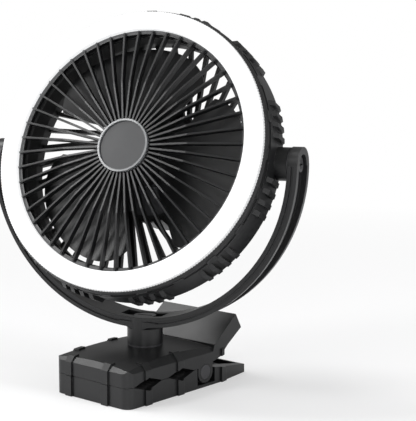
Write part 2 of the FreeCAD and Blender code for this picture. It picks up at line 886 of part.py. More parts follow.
def front_grille():
    """Guard of straight ribs that bend back to the rim, with a cup for the cap."""
    rim_out = ring_inner_radius - seat_gap
    edge = bezel_station - bezel_shelf_drop + seat_gap
    crest = cap_station - cap_recess
    back = crest - rib_depth
    cup_out = cap_radius - cap_rim_width - seat_gap
    cup_in = cup_out - grille_hub_wall
    cup_low = crest - cap_depth
    root, tip = cup_out - rib_inner_root, rim_out - rib_root
    outline = [Vector(root, 0, back), Vector(root, 0, crest), Vector(grille_flat_radius, 0, crest),
               Vector(tip, 0, edge + rib_depth + rib_root), Vector(tip, 0, edge + rib_lift),
               Vector(grille_flat_radius, 0, back)]
    rib = prism(outline, Vector(0, rib_width, 0))
    rib.translate(Vector(0, -rib_width / 2, 0))
    cup = tube(cup_out, cup_in, cup_low, crest - 0.2)
    floor = rod(cup_out, (0, 0, cup_low), (0, 0, cup_low + grille_floor))
    rim = tube(rim_out, rim_out - grille_rim_width, edge, edge + grille_rim_height)
    return tidy(join(rim, around(rib, rib_count, 180.0 / rib_count) + [cup, floor]))


def cap_ring():
    """Thin raised rim round the centre cap, notched over the guard's ribs."""
    inner = cap_radius - cap_rim_width
    low = cap_station - cap_recess - cap_skirt
    high = cap_station - cap_recess + seat_gap
    half = rib_width / 2 + seat_gap
    notch = box((inner - 1, cap_radius + 1), (-half, half), (low - 1, high))
    ring = tube(cap_radius, inner, low, cap_station)
    return tidy(ring.cut(around(notch, rib_count, 180.0 / rib_count)))


def cap_disc():
    low = cap_station - cap_recess
    return rod(cap_radius - cap_rim_width - seat_gap, (0, 0, low), (0, 0, low + cap_disc_thickness))


def blade_edge(middle, span, rise, out):
    """Curve along a blade's root (out 0) or its tip (out 1), which is rounded at the corners."""
    root = rotor_hub_radius - 1.0
    points = []
    for index in range(9):
        swing = index / 4.0 - 1
        tip = rotor_radius - blade_corner * abs(swing) ** 5
        radius = root + out * (tip - root)
        angle = radians(middle + span * swing / 2)
        z = rotor_station - blade_thickness / 2 + rise * swing / 2 + blade_cup * (1 - swing ** 2)
        points.append(Vector(radius * cos(angle), radius * sin(angle), z))
    curve = Part.BSplineCurve()
    curve.interpolate(points)
    return curve.toShape()


def rotor():
    """Broad pitched blades on a cup-shaped hub."""
    core = rod(rotor_hub_radius - 0.8, (0, 0, -through), (0, 0, through))
    blades = []
    for index in range(blade_count):
        middle = blade_first_angle + index * 360.0 / blade_count
        root = blade_edge(middle + blade_root_lead, blade_root_span, blade_root_rise, 0.0)
        tip = blade_edge(middle + blade_tip_lead, blade_span, blade_rise, 1.0)
        blade = Part.makeRuledSurface(root, tip).extrude(Vector(0, 0, blade_thickness))
        blades.append(blade.cut(core))
    low = rotor_station - rotor_hub_length / 2
    high = rotor_station + rotor_hub_length / 2
    cup = rod(rotor_hub_radius, (0, 0, low), (0, 0, high))
    hollow = rod(rotor_hub_radius - rotor_hub_wall, (0, 0, low - 1), (0, 0, high - rotor_hub_wall))
    post = rod(shaft_radius + rotor_post_wall, (0, 0, low + 1.0), (0, 0, high - rotor_hub_wall / 4))
    body = join(cup.cut(hollow), blades + [post])
    return tidy(body.cut(rod(shaft_radius + seat_gap, (0, 0, -through), (0, 0, through))))


def rotor_nut():
    low = rotor_station + rotor_hub_length / 2
    cone = Part.makeCone(nut_radius, nut_radius - nut_taper, nut_length, Vector(0, 0, low), Z_AXIS)
    return cone.cut(rod(shaft_radius + seat_gap, (0, 0, low - 1), (0, 0, low + nut_length - nut_cap)))


def motor_shaft():
    high = rotor_station + rotor_hub_length / 2 + nut_length - nut_cap - 0.1
    return rod(shaft_radius, (0, 0, motor_rear_station + 1.0), (0, 0, high))


def motor_body():
    low = motor_rear_station
    high = motor_front_station
    edge = motor_edge
    can = turned([(0, low), (motor_radius - edge, low), (motor_radius, low + edge),
                  (motor_radius, high - edge), (motor_radius - edge, high), (0, high)])
    collar = rod(motor_collar_radius, (0, 0, high), (0, 0, high + motor_collar_length))
    return tidy(can.fuse(collar).cut(rod(shaft_radius + running_gap, (0, 0, low + 0.9), (0, 0, through))))


def motor_mount():
    """Plate across the mouth of the hub housing that holds the motor."""
    low = shoulder_station + 0.2
    bore = motor_radius + seat_gap
    plate = tube(hub_radius - hub_wall - seat_gap, bore, low, low + mount_plate)
    collar = tube(motor_radius + mount_collar_wall, bore, low - mount_collar_length, low + mount_plate / 4)
    place = hub_radius - mount_hole_inset
    hole = rod(mount_hole_radius, (place, 0, low - 1), (place, 0, low + mount_plate + 1))
    return tidy(plate.fuse(collar).cut(around(hole, mount_hole_count, 180.0 / mount_hole_count)))


def inner_duct():
    """Thin wall round the blades, from the bezel back to the rear grille."""
    return tube(duct_radius + duct_wall, duct_radius, duct_rear_station, drum_front_station)


def rear_grille():
    """Dished guard: rim, slanted ribs and the collar that carries the hub housing."""
    low = shoulder_station
    rim_low = drum_rear_station
    rim = tube(duct_radius + duct_wall, duct_radius, rim_low, duct_rear_station - seat_gap)
    inner = hub_radius - 1.0
    lean = radians(rear_rib_slant)
    reach = duct_radius + duct_wall / 2
    length = sqrt(reach ** 2 - (inner * sin(lean)) ** 2) - inner * cos(lean)
    outline = [Vector(0, 0, low), Vector(length, 0, rim_low), Vector(length, 0, rim_low + rear_rib_depth),
               Vector(0, 0, low + rear_rib_depth)]
    rib = prism(outline, Vector(0, rear_rib_width, 0))
    rib.translate(Vector(0, -rear_rib_width / 2, 0))
    rib.rotate(Vector(0, 0, 0), Z_AXIS, rear_rib_slant)
    rib.translate(Vector(inner, 0, 0))
    bore = hub_radius + seat_gap
    collar = tube(hub_radius + rear_collar_wall, bore, low, low + rear_rib_depth)
    shell = join(rim, around(rib, rear_rib_count) + [collar])
    return tidy(shell.cut(rod(bore, (0, 0, -through), (0, 0, through))))


def hub_housing():
    """Battery and control housing behind the motor, with its openings."""
    low = hub_rear_station
    high = shoulder_station + rear_rib_depth
    turn = hub_edge_round
    bevel = turn * (1 - cos(pi / 4))
    inside = hub_radius - hub_wall
    floor = low + hub_wall + hub_face_extra
    outer = turned([(0, low), (hub_radius - turn, low), (hub_radius - bevel, low + bevel),
                    (hub_radius, low + turn), (hub_radius, high), (0, high)])
    ledge_top = shoulder_station + 0.2
    ledge = tube(inside + hub_wall / 5, inside - hub_ledge_width, ledge_top - hub_ledge_height, ledge_top)
    shell = outer.cut(rod(inside, (0, 0, floor), (0, 0, high + 1))).fuse(ledge)
    depth = (low - 1, floor + 1)
    cuts = []
    for x in button_places():
        cuts.append(rod(button_radius + joint_gap, (x, button_row_height, depth[0]),
                        (x, button_row_height, depth[1])))
    cuts.append(centred_box(lens_width, lens_height, 0.0, depth))
    cuts.append(centred_box(port_width + 2 * port_room, port_height + 2 * port_room, port_row_height, depth))
    cuts.append(flap_seat())
    for x in hub_screw_places():
        cuts.append(rod(hub_screw_radius + 0.1, (x, 0, depth[0]), (x, 0, depth[1])))
    return tidy(shell.cut(cuts))


def centred_box(width, height, row, depth):
    """Box across the head's middle line, at a height and between two stations."""
    return box((-width / 2, width / 2), (row - height / 2, row + height / 2), depth)


def flap_seat():
    """Recess that the rubber flap and its knuckle lie in."""
    half = flap_width / 2 + joint_gap
    low = port_row_height - flap_height / 2 - knuckle_radius - knuckle_room
    high = port_row_height + flap_height / 2 + joint_gap
    return box((-half, half), (low, high), (hub_rear_station - 1, hub_rear_station + flap_thickness))


def button_places():
    return (-button_spacing / 2, button_spacing / 2)


def hub_screw_places():
    place = hub_radius - hub_screw_inset
    return (-place, place)


def button(x):
    """Push button with a retaining flange inside the housing."""
    crown = hub_rear_station - button_proud
    flange_low = hub_rear_station + hub_wall + hub_face_extra + joint_gap
    flange_high = flange_low + button_flange_thickness
    y = button_row_height
    stem = rod(button_radius, (x, y, crown), (x, y, flange_high - joint_gap))
    flange = rod(button_radius + button_flange, (x, y, flange_low), (x, y, flange_high))
    dish = Part.makeCone(button_radius - button_dish_rim, 1.0, button_dish_depth, Vector(x, y, crown), Z_AXIS)
    return tidy(stem.fuse(flange).cut(dish))


def indicator_lens():
    depth = (hub_rear_station - lens_proud, hub_rear_station + hub_wall + hub_face_extra)
    return centred_box(lens_width - 2 * seat_gap, lens_height - 2 * seat_gap, 0.0, depth)


def control_board():
    """Round board on two posts, drilled for the housing screws."""
    low = board_station
    high = low + board_thickness
    board = rod(hub_radius - hub_wall - board_edge_gap, (0, 0, low), (0, 0, high))
    posts = [rod(hub_post_radius, (x, 0, low), (x, 0, low - board_standoff)) for x in hub_screw_places()]
    drills = [rod(hub_screw_radius + seat_gap, (x, 0, low - board_standoff - 1), (x, 0, high + 1))
              for x in hub_screw_places()]
    return tidy(join(board, posts).cut(drills))


def hub_screws():
    """Two screws from the rear face that hold the board and housing."""
    low = hub_rear_station
    screws = []
    for x in hub_screw_places():
        head = rod(hub_screw_head_radius, (x, 0, low - hub_screw_head_length), (x, 0, low))
        shank = rod(hub_screw_radius, (x, 0, low), (x, 0, low + hub_screw_length))
        screws.append(tidy(head.fuse(shank)))
    return Part.makeCompound(screws)


def charge_socket():
    low = hub_rear_station + flap_thickness + joint_gap
    high = low + port_depth
    shell = centred_box(port_width, port_height, port_row_height, (low, high))
    hollow = centred_box(port_width - 2 * port_wall, port_height - 2 * port_wall, port_row_height,
                         (low - 1, high - port_back))
    tongue = centred_box(port_width - 2 * tongue_inset, 2 * tongue_half_height, port_row_height,
                         (low + port_wall, high - port_back + 0.4))
    return tidy(shell.cut(hollow).fuse(tongue))


def port_cover():
    """Rubber flap over the charging socket, hinged along its lower edge."""
    low = hub_rear_station
    half = flap_width / 2
    bottom = port_row_height - flap_height / 2
    top = port_row_height + flap_height / 2
    flap = centred_box(flap_width, flap_height, port_row_height, (low, low + flap_thickness - joint_gap))
    line = bottom - knuckle_radius
    middle = low + (flap_thickness - joint_gap) / 2
    knuckle = rod(knuckle_radius, (-half, line, middle), (half, line, middle))
    bridge = box((-half, half), (line, bottom + 0.5), (middle - flap_bridge / 2, middle + flap_bridge / 2))
    pull = box((-pull_width / 2, pull_width / 2), (top - 0.2 - pull_height, top - 0.2),
               (low - pull_proud, low + 0.4))
    return tidy(join(flap, [knuckle, bridge, pull]))


def battery_cells():
    """Two round cells lying side by side across the housing, behind the motor."""
    station = (board_station + board_thickness + motor_rear_station) / 2
    cells = []
    for side in (-1, 1):
        y = side * (cell_radius + cell_gap / 2)
        cells.append(rod(cell_radius, (-cell_length / 2, y, station), (cell_length / 2, y, station)))
    return Part.makeCompound(cells)


left_button, right_button = button_places()
save("lower_jaw", lower_jaw())
save("upper_jaw", upper_jaw())
save("lower_grip_pad", grip_pad(lower_top, -1))
save("upper_grip_pad", grip_pad(upper_bottom, 1))
save("clamp_pin", clamp_pin())
save("clamp_spring", clamp_spring())
save("hook", hook())
save("hook_pin", hook_pin_bore(hook_pin_radius))
save("yoke", yoke(), yoke_frame)
save("swivel_bolt", swivel_bolt(), yoke_frame)
save("swivel_nut", swivel_nut())
save("swivel_washer", swivel_washer())
save("pivot_screws", pivot_screws(), yoke_frame)
save("pivot_washers", pivot_washers(), head_frame)
save("led_diffuser", led_diffuser(), head_frame)
save("led_board", led_board(), head_frame)
save("front_bezel", front_bezel(), head_frame)
save("drum_shell", drum_shell(), head_frame)
save("front_grille", front_grille(), head_frame)
save("cap_ring", cap_ring(), head_frame)
save("cap_disc", cap_disc(), head_frame)
save("fan_rotor", rotor(), head_frame)
save("rotor_nut", rotor_nut(), head_frame)
save("motor_shaft", motor_shaft(), head_frame)
save("motor_body", motor_body(), head_frame)
save("motor_mount", motor_mount(), head_frame)
save("inner_duct", inner_duct(), head_frame)
save("rear_grille", rear_grille(), head_frame)
save("hub_housing", hub_housing(), head_frame)
save("speed_button", button(left_button), head_frame)
save("light_button", button(right_button), head_frame)
save("indicator_lens", indicator_lens(), head_frame)
save("control_board", control_board(), head_frame)
save("hub_screws", hub_screws(), head_frame)
save("charge_socket", charge_socket(), head_frame)
save("port_cover", port_cover(), head_frame)
save("battery_cells", battery_cells(), head_frame)
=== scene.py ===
from math import cos, radians, sin, tau

import bmesh
import bpy
from mathutils import Matrix, Vector


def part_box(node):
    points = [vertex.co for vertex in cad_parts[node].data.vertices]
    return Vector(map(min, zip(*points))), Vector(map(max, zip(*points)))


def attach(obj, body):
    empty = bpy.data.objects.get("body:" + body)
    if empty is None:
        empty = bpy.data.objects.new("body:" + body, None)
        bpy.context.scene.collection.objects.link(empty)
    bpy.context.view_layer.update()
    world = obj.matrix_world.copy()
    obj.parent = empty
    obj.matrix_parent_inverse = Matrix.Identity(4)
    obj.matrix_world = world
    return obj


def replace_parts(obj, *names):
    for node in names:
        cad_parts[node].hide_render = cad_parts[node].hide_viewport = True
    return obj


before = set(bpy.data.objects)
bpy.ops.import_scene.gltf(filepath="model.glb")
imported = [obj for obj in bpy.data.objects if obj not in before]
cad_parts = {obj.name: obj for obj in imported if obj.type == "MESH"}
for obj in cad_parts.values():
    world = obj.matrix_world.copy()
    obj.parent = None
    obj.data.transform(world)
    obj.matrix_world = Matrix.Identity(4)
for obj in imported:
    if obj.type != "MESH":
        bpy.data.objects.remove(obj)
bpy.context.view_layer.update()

MM = 0.001

# Pose and sizes that the dressed pieces follow
SWIVEL = radians(16.9)
TILT = radians(20.4)
PIVOT_HEIGHT = 172.8 * MM
RING_RADIUS = 105.0 * MM
RING_STATION = 29.9 * MM
BEAD_COUNT = 300
BEAD_SIZE = 0.55 * MM
BEAD_VALLEY = 0.05 * MM
BEAD_LENGTH = 3.0 * MM
BEAD_PROUD = 0.1 * MM
BEAD_BEVEL_LENGTH = 0.5 * MM
BEAD_BEVEL_INSET = 0.4 * MM
BEAD_SEAT = 0.8 * MM
HUB_REAR = -59.0 * MM
BUTTON_X = 9.5 * MM
BUTTON_Y = 12.0 * MM
BUTTON_PROUD = 1.6 * MM
MARK_SINK = 0.15 * MM
MARK_THICKNESS = 0.35 * MM
VANE_COUNT = 3
VANE_RADIUS = 1.5 * MM
VANE_WIDTH = 1.4 * MM
VANE_SPAN = radians(62)
LAMP_RADIUS = 1.1 * MM
LAMP_WIDTH = 0.5 * MM
LAMP_SPAN = tau * 0.999
LAMP_STEPS = 36
ARC_STEPS = 20
RAY_COUNT = 8
RAY_INNER = 2.1 * MM
RAY_OUTER = 3.0 * MM
RAY_WIDTH = 0.45 * MM
HINGE_Y = 26.1 * MM
HINGE_Z = 11.5 * MM
SPRING_RADIUS = 5.6 * MM
SPRING_WIRE = 0.85 * MM
SPRING_TURNS = 3.5
SPRING_STEPS_PER_TURN = 20
WIRE_RESOLUTION = 3
SPRING_LEG = 17.0 * MM
SPRING_FLOOR = 4.1 * MM
SPRING_CEILING = 28.9 * MM

# Camera, from the photograph's perspective
IMAGE_WIDTH = 416
CAMERA_PLACE = Vector((0.59884, -0.61943, 0.24041))
CAMERA_AZIMUTH = radians(40.85)
CAMERA_PITCH = radians(7.04)
FOCAL_PIXELS = 1156.13
SENSOR_WIDTH = 36.0

# Studio
WHITE = (1.0, 1.0, 1.0, 1.0)
FLOOR_HALF = 6.0
FLOOR_LEVEL = -0.2 * MM
FLOOR_COLOUR = (0.86, 0.86, 0.865, 1.0)
FLOOR_ROUGHNESS = 0.5
FLOOR_SPECULAR = 0.2
FLOOR_WHITE_NEAR = 0.35
FLOOR_WHITE_FAR = 1.0
FLOOR_NEAR = 0.15
FLOOR_FAR = 1.2
WORLD_SEEN = 1.0
WORLD_FILL = 0.5
WORLD_GLINT = 0.32

# Surface texture
PLASTIC_ROUGHNESS = 0.45
DIFFUSER_ROUGHNESS = 0.35
GRAIN_SCALE = 1400.0
GRAIN_DETAIL = 3.0
PLATED_GRAIN_SCALE = 900.0
GRAIN_DEPTH = 0.05 * MM
PATCH_SCALE = 38.0
PATCH_DETAIL = 4.0
PATCH_MEAN = 0.5
SHINE = 0.12
PLATED_SHINE = 0.2
DUST_AMOUNT = 0.10
DUST_SCALE = 210.0
DUST_DETAIL = 6.0
DUST_COLOUR = (0.20, 0.195, 0.185, 1.0)
CLOUD_SCALE = 60.0
CLOUD_COLOUR = (0.93, 0.95, 0.97, 1.0)
EDGE_SOFTENING = 0.35 * MM
EDGE_SAMPLES = 4
SCRATCH_DARKENING = 0.72


def head_matrix():
    """Head frame: X along the tilt axis, Z forward along the fan's axis."""
    return (Matrix.Translation((0, 0, PIVOT_HEIGHT)) @ Matrix.Rotation(SWIVEL, 4, "Z")
            @ Matrix.Rotation(radians(90) - TILT, 4, "X"))


HEAD = head_matrix()


# Shader helpers

def add(nodes, kind, **values):
    """Shader node of one kind with its properties set."""
    node = nodes.new(kind)
    for name, value in values.items():
        setattr(node, name, value)
    return node


def effect_group(name, inputs, outputs):
    """Empty node group with float, colour or vector sockets."""
    group = bpy.data.node_groups.new(name, "ShaderNodeTree")
    for title, kind, default in inputs:
        socket = group.interface.new_socket(title, in_out="INPUT", socket_type=kind)
        if default is not None:
            socket.default_value = default
    for title, kind in outputs:
        group.interface.new_socket(title, in_out="OUTPUT", socket_type=kind)
    start = group.nodes.new("NodeGroupInput")
    end = group.nodes.new("NodeGroupOutput")
    return group, start, end


def math_node(nodes, links, operation, first, second):
    """Output of a maths node whose inputs are numbers or sockets."""
    node = add(nodes, "ShaderNodeMath", operation=operation)
    for index, value in enumerate((first, second)):
        if isinstance(value, (int, float)):
            node.inputs[index].default_value = value
        else:
            links.new(value, node.inputs[index])
    return node.outputs[0]


def moulded_grain():
    """Spark-eroded mould texture with patches of handling shine."""
    group, start, end = effect_group(
        "moulded_grain",
        [("Coordinates", "NodeSocketVector", None), ("Grain Scale", "NodeSocketFloat", GRAIN_SCALE),
         ("Roughness", "NodeSocketFloat", PLASTIC_ROUGHNESS),
         ("Shine", "NodeSocketFloat", SHINE)],
        [("Height", "NodeSocketFloat"), ("Roughness", "NodeSocketFloat"),
         ("Patches", "NodeSocketFloat")])
    nodes, links = group.nodes, group.links
    fine = add(nodes, "ShaderNodeTexNoise")
    fine.inputs["Detail"].default_value = GRAIN_DETAIL
    links.new(start.outputs["Coordinates"], fine.inputs["Vector"])
    links.new(start.outputs["Grain Scale"], fine.inputs["Scale"])
    cells = add(nodes, "ShaderNodeTexVoronoi")
    links.new(start.outputs["Coordinates"], cells.inputs["Vector"])
    links.new(start.outputs["Grain Scale"], cells.inputs["Scale"])
    both = math_node(nodes, links, "ADD", fine.outputs[0], cells.outputs["Distance"])
    links.new(both, end.inputs["Height"])
    patches = add(nodes, "ShaderNodeTexNoise")
    patches.inputs["Scale"].default_value = PATCH_SCALE
    patches.inputs["Detail"].default_value = PATCH_DETAIL
    links.new(start.outputs["Coordinates"], patches.inputs["Vector"])
    centred = math_node(nodes, links, "SUBTRACT", patches.outputs[0], PATCH_MEAN)
    swing = math_node(nodes, links, "MULTIPLY", centred, start.outputs["Shine"])
    total = math_node(nodes, links, "ADD", swing, start.outputs["Roughness"])
    links.new(total, end.inputs["Roughness"])
    links.new(patches.outputs[0], end.inputs["Patches"])
    return group


def settled_dust():
    """Faint dust mask on faces that look up, broken up by noise."""
    group, start, end = effect_group(
        "settled_dust",
        [("Coordinates", "NodeSocketVector", None), ("Amount", "NodeSocketFloat", DUST_AMOUNT),
         ("Clean Colour", "NodeSocketColor", None), ("Dust Colour", "NodeSocketColor", None)],
        [("Colour", "NodeSocketColor"), ("Mask", "NodeSocketFloat")])
    nodes, links = group.nodes, group.links
    geometry = nodes.new("ShaderNodeNewGeometry")
    split = nodes.new("ShaderNodeSeparateXYZ")
    links.new(geometry.outputs["Normal"], split.inputs[0])
    speck = add(nodes, "ShaderNodeTexNoise")
    speck.inputs["Scale"].default_value = DUST_SCALE
    speck.inputs["Detail"].default_value = DUST_DETAIL
    links.new(start.outputs["Coordinates"], speck.inputs["Vector"])
    up = math_node(nodes, links, "MAXIMUM", split.outputs["Z"], 0.0)
    mask = math_node(nodes, links, "MULTIPLY", up, speck.outputs[0])
    mask = math_node(nodes, links, "MULTIPLY", mask, start.outputs["Amount"])
    mix = add(nodes, "ShaderNodeMix", data_type="RGBA")
    links.new(mask, mix.inputs["Factor"])
    links.new(start.outputs["Clean Colour"], mix.inputs["A"])
    links.new(start.outputs["Dust Colour"], mix.inputs["B"])
    links.new(mix.outputs["Result"], end.inputs["Colour"])
    links.new(mask, end.inputs["Mask"])
    return group


GRAIN = moulded_grain()
DUST = settled_dust()


def empty_material(name):
    """Material with one principled shader, its nodes and links."""
    material = bpy.data.materials.new(name)
    material.use_nodes = True
    tree = material.node_tree
    tree.nodes.clear()
    output = tree.nodes.new("ShaderNodeOutputMaterial")
    shader = tree.nodes.new("ShaderNodeBsdfPrincipled")
    tree.links.new(shader.outputs[0], output.inputs["Surface"])
    return material, tree.nodes, tree.links, shader


def moulded(name, colour, roughness=PLASTIC_ROUGHNESS, grain=GRAIN_SCALE, bump=0.25,
            dust=DUST_AMOUNT, specular=0.5, coat=0.0):
    """Moulded plastic or rubber: grain, handling shine, dust and softened edges."""
    material, nodes, links, shader = empty_material(name)
    place = nodes.new("ShaderNodeTexCoord").outputs["Object"]
    texture = add(nodes, "ShaderNodeGroup", node_tree=GRAIN)
    texture.inputs["Grain Scale"].default_value = grain
    texture.inputs["Roughness"].default_value = roughness
    texture.inputs["Shine"].default_value = SHINE
    links.new(place, texture.inputs["Coordinates"])
    soil = add(nodes, "ShaderNodeGroup", node_tree=DUST)
    soil.inputs["Amount"].default_value = dust
    soil.inputs["Clean Colour"].default_value = (*colour, 1.0)
    soil.inputs["Dust Colour"].default_value = DUST_COLOUR
    links.new(place, soil.inputs["Coordinates"])
    links.new(soil.outputs["Colour"], shader.inputs["Base Color"])
    links.new(texture.outputs["Roughness"], shader.inputs["Roughness"])
    soften = nodes.new("ShaderNodeBevel")
    soften.samples = EDGE_SAMPLES
    soften.inputs["Radius"].default_value = EDGE_SOFTENING
    relief = nodes.new("ShaderNodeBump")
    relief.inputs["Strength"].default_value = bump
    relief.inputs["Distance"].default_value = GRAIN_DEPTH
    links.new(texture.outputs["Height"], relief.inputs["Height"])
    links.new(soften.outputs[0], relief.inputs["Normal"])
    links.new(relief.outputs[0], shader.inputs["Normal"])
    shader.inputs["Specular IOR Level"].default_value = specular
    shader.inputs["Coat Weight"].default_value = coat
    return material


def lit_diffuser(name, glow, cast, milk):
    """Milky plastic lit from inside: it shows at one strength and lights the guard at another."""
    material, nodes, links, shader = empty_material(name)
    place = nodes.new("ShaderNodeTexCoord").outputs["Object"]
    cloud = nodes.new("ShaderNodeTexNoise")
    cloud.inputs["Scale"].default_value = CLOUD_SCALE
    links.new(place, cloud.inputs["Vector"])
    ramp = nodes.new("ShaderNodeValToRGB")
    ramp.color_ramp.elements[0].color = CLOUD_COLOUR
    ramp.color_ramp.elements[1].color = WHITE
    links.new(cloud.outputs[0], ramp.inputs[0])
    shader.inputs["Base Color"].default_value = (milk, milk, milk, 1.0)
    links.new(ramp.outputs[0], shader.inputs["Emission Color"])
    shader.inputs["Roughness"].default_value = DIFFUSER_ROUGHNESS
    seen = nodes.new("ShaderNodeLightPath").outputs["Is Camera Ray"]
    drop = math_node(nodes, links, "MULTIPLY", seen, glow - cast)
    links.new(math_node(nodes, links, "ADD", drop, cast), shader.inputs["Emission Strength"])
    return material


def plated(name, colour, roughness=0.32):
    """Plated steel with fine directionless scratches."""
    material, nodes, links, shader = empty_material(name)
    place = nodes.new("ShaderNodeTexCoord").outputs["Object"]
    texture = add(nodes, "ShaderNodeGroup", node_tree=GRAIN)
    texture.inputs["Grain Scale"].default_value = PLATED_GRAIN_SCALE
    texture.inputs["Roughness"].default_value = roughness
    texture.inputs["Shine"].default_value = PLATED_SHINE
    links.new(place, texture.inputs["Coordinates"])
    tint = add(nodes, "ShaderNodeMix", data_type="RGBA")
    tint.inputs["A"].default_value = (*colour, 1.0)
    tint.inputs["B"].default_value = (*[part * SCRATCH_DARKENING for part in colour], 1.0)
    links.new(texture.outputs["Patches"], tint.inputs["Factor"])
    links.new(tint.outputs["Result"], shader.inputs["Base Color"])
    links.new(texture.outputs["Roughness"], shader.inputs["Roughness"])
    shader.inputs["Metallic"].default_value = 1.0
    return material


SHELL = moulded("shell_plastic", (0.00626, 0.00652, 0.00705), roughness=0.42, specular=0.4)
CLAMP = moulded("clamp_plastic", (0.00574, 0.006, 0.00652), roughness=0.36, grain=1100.0,
                specular=0.45, dust=0.03)
YOKE = moulded("yoke_plastic", (0.00731, 0.00757, 0.00835), roughness=0.38, specular=0.45)
GRILLE = moulded("guard_plastic", (0.00522, 0.00548, 0.006), roughness=0.36, bump=0.12,
                 dust=0.02, specular=0.45)
REAR_GUARD = moulded("rear_guard_plastic", (0.0047, 0.00496, 0.00522), roughness=0.5, bump=0.12,
                     specular=0.35)
BLADE = moulded("blade_plastic", (0.00626, 0.00652, 0.00705), roughness=0.34, bump=0.06,
                dust=0.02, specular=0.4)
CAP = moulded("cap_face_plastic", (0.022, 0.023, 0.025), roughness=0.46, grain=2000.0, bump=0.1)
CAP_RIM = moulded("cap_rim_plastic", (0.12, 0.125, 0.13), roughness=0.26, bump=0.05, coat=0.2)
GRIP = moulded("grip_rubber", (0.013, 0.013, 0.014), roughness=0.72, bump=0.4, specular=0.3)
BUTTON = moulded("button_rubber", (0.045, 0.047, 0.050), roughness=0.6, specular=0.35)
HOOK = moulded("hook_plastic", (0.018, 0.018, 0.020), roughness=0.28, bump=0.08)
SPACER = moulded("spacer_nylon", (0.05, 0.05, 0.055), roughness=0.5)
BOARD = moulded("board_green", (0.02, 0.12, 0.05), roughness=0.3, coat=0.3)
CELL = moulded("cell_wrap", (0.03, 0.12, 0.30), roughness=0.25, bump=0.04, coat=0.3)
LENS = moulded("indicator_plastic", (0.62, 0.66, 0.68), roughness=0.22, dust=0.02)
MARK = moulded("button_mark_ink", (0.62, 0.63, 0.64), roughness=0.5, dust=0.02)
STEEL = plated("plated_steel", (0.56, 0.56, 0.58))
DARK_STEEL = plated("blackened_steel", (0.10, 0.10, 0.105), roughness=0.38)
# Painted shade: the inner duct's colour is darker than the shell's, standing in for the shade deep
# inside the drum.
DUCT_PAINTED_SHADE = moulded("duct_painted_shade", (0.003, 0.003, 0.0032), roughness=0.6, specular=0.15, dust=0.0)
LIGHT = lit_diffuser("lit_diffuser", glow=0.74, cast=3.0, milk=0.30)
LIGHT_RIM = lit_diffuser("lit_diffuser_rim", glow=0.40, cast=0.8, milk=0.30)

FINISHES = {
    "lower_jaw": CLAMP, "upper_jaw": CLAMP, "lower_grip_pad": GRIP, "upper_grip_pad": GRIP,
    "clamp_pin": DARK_STEEL, "clamp_spring": STEEL, "hook": HOOK, "hook_pin": STEEL,
    "yoke": YOKE, "swivel_bolt": DARK_STEEL, "swivel_nut": STEEL, "swivel_washer": SPACER,
    "pivot_screws": DARK_STEEL, "pivot_washers": SPACER, "led_diffuser": LIGHT,
    "led_board": BOARD, "front_bezel": SHELL, "drum_shell": SHELL, "front_grille": GRILLE,
    "cap_ring": CAP_RIM, "cap_disc": CAP, "fan_rotor": BLADE, "rotor_nut": BLADE,
    "motor_shaft": STEEL, "motor_body": STEEL, "motor_mount": SPACER, "inner_duct": DUCT_PAINTED_SHADE,
    "rear_grille": REAR_GUARD, "hub_housing": SHELL, "speed_button": BUTTON,
    "light_button": BUTTON, "indicator_lens": LENS, "control_board": BOARD,
    "hub_screws": DARK_STEEL, "charge_socket": STEEL, "port_cover": GRIP, "battery_cells": CELL,
}


def dress_nodes():
    """Give each solid of the frame its finish."""
    for name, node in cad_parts.items():
        node.data.materials.clear()
        node.data.materials.append(FINISHES.get(name, SHELL))


# Pieces modelled here

def mesh_piece(name, build, material, body, matrix):
    """Mesh object from a bmesh function, riding on a body."""
    mesh = bmesh.new()
    build(mesh)
    bmesh.ops.recalc_face_normals(mesh, faces=mesh.faces)
    data = bpy.data.meshes.new(name)
    mesh.to_mesh(data)
    mesh.free()
    data.transform(matrix)
    piece = bpy.data.objects.new(name, data)
    bpy.context.scene.collection.objects.link(piece)
    data.materials.append(material)
    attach(piece, body)
    return piece


def light_ring_beads(mesh):
    """Fine prismatic teeth round the diffuser's outer rim."""
    low = RING_STATION - BEAD_LENGTH
    high = RING_STATION + BEAD_PROUD
    inner = RING_RADIUS - BEAD_SEAT
    profile = ((low, 0.0), (high - BEAD_BEVEL_LENGTH, 0.0), (high, BEAD_BEVEL_INSET))
    rings = []
    for index in range(BEAD_COUNT * 2):
        angle = tau * index / (BEAD_COUNT * 2)
        reach = RING_RADIUS + (BEAD_SIZE if index % 2 else BEAD_VALLEY)
        column = []
        for station, inset in profile:
            radius = reach - inset
            column.append(mesh.verts.new((radius * cos(angle), radius * sin(angle), station)))
        for station in (high, low):
            column.append(mesh.verts.new((inner * cos(angle), inner * sin(angle), station)))
        rings.append(column)
    for index, column in enumerate(rings):
        after = rings[(index + 1) % len(rings)]
        for step in range(len(column)):
            other = (step + 1) % len(column)
            mesh.faces.new((column[step], column[other], after[other], after[step]))


def arc_strip(mesh, radius, width, first, last, low, high, steps=ARC_STEPS):
    """Flat raised strip that follows an arc."""
    columns = []
    for step in range(steps + 1):
        angle = first + (last - first) * step / steps
        column = []
        for reach, level in ((radius, low), (radius + width, low),
                             (radius + width, high), (radius, high)):
            column.append(mesh.verts.new((reach * cos(angle), reach * sin(angle), level)))
        columns.append(column)
    for before, after in zip(columns, columns[1:]):
        for step in range(4):
            other = (step + 1) % 4
            mesh.faces.new((before[step], before[other], after[other], after[step]))
    mesh.faces.new(columns[0][::-1])
    mesh.faces.new(columns[-1])


